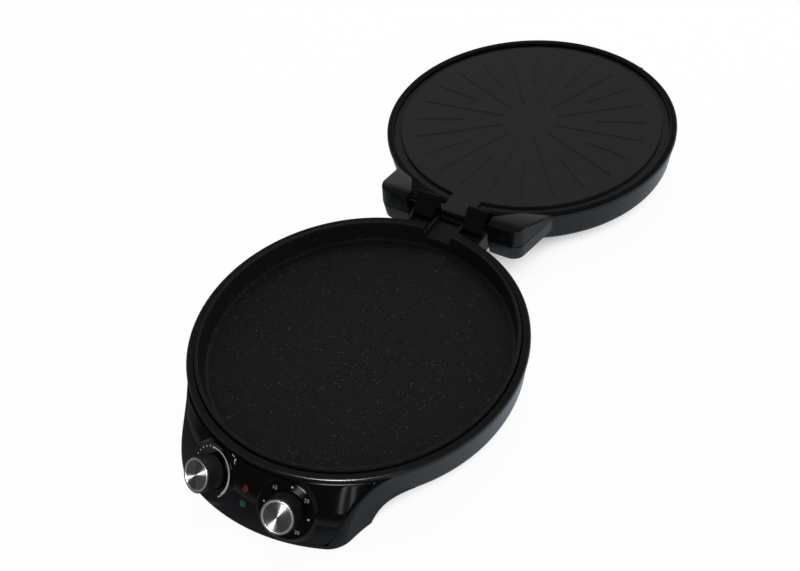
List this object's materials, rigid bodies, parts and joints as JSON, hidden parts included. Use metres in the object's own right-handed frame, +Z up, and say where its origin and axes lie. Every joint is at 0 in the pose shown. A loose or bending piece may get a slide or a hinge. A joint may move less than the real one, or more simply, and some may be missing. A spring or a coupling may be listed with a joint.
{
  "type": "electric pizza maker",
  "caption": "Round countertop cooker: a deep heated pan with a console of dials and lamps at its front, and a heated lid with a handle that opens flat on a rear hinge.",
  "frame": {"origin": "on the table, under the middle of the hinge axis, which is the middle of the opened cooker's underside", "axes": "+X to the right of someone who faces the controls, +Y from the controls to the opened lid, +Z up"},
  "size_m": [0.334, 0.7772, 0.075],
  "materials": {
    "gloss_housing": "polished black moulding",
    "panel": "polished black moulding with white print",
    "coated_plate": "matte dark non-stick coating on cast aluminium",
    "element": "oxidised steel sheath",
    "sheet": "plain sheet",
    "cover_sheet": "plain zinc-coated sheet",
    "steel": "plain zinc-plated",
    "shaft": "turned",
    "knob": "smooth black",
    "cap": "spun with a polished rim",
    "red_lens": "clear red",
    "green_lens": "clear green",
    "bulb": "clear",
    "switch_body": "moulded, heat-proof",
    "terminals": "moulded",
    "gland": "nylon",
    "rubber": "plain"
  },
  "bodies": {
    "base": {"base_shell": "gloss_housing", "base_frame": "gloss_housing", "base_cover": "cover_sheet", "lower_plate": "coated_plate", "lower_element": "element", "lower_reflector": "sheet", "control_panel": "panel", "timer_mechanism": "switch_body", "thermostat": "switch_body", "red_lens": "red_lens", "green_lens": "green_lens", "indicator_bulbs": "bulb", "terminal_block": "terminals", "thermal_fuse": "switch_body", "cord_gland": "gland", "front_feet": "rubber", "rear_feet": "rubber", "cover_screws": "steel", "pan_screws": "steel"},
    "lid": {"lid_shell": "gloss_housing", "lid_frame": "gloss_housing", "upper_plate": "coated_plate", "upper_element": "element", "upper_reflector": "sheet", "lid_handle": "gloss_housing", "hinge_pins": "steel", "handle_screws": "steel", "lug_screws": "steel", "plate_screws": "steel"},
    "temperature_dial": {"temperature_knob": "knob", "temperature_cap": "cap", "thermostat_shaft": "shaft"},
    "timer_dial": {"timer_knob": "knob", "timer_cap": "cap", "timer_shaft": "shaft"}
  },
  "joints": [
    {"name": "lid_hinge", "type": "hinge", "parent": "base", "child": "lid", "pos_m": [0, 0, 0.0584], "axis": [1, 0, 0], "range_deg": [0, 180]},
    {"name": "temperature_turn", "type": "hinge", "parent": "base", "child": "temperature_dial", "pos_m": [-0.0419, -0.36629, 0.03352], "axis": [0.1789, 0.7761, -0.6047], "range_deg": [-155, 64]},
    {"name": "timer_turn", "type": "hinge", "parent": "base", "child": "timer_dial", "pos_m": [0.0419, -0.36629, 0.03352], "axis": [-0.1789, 0.7761, -0.6047], "range_deg": [0, 325]}
  ]
}
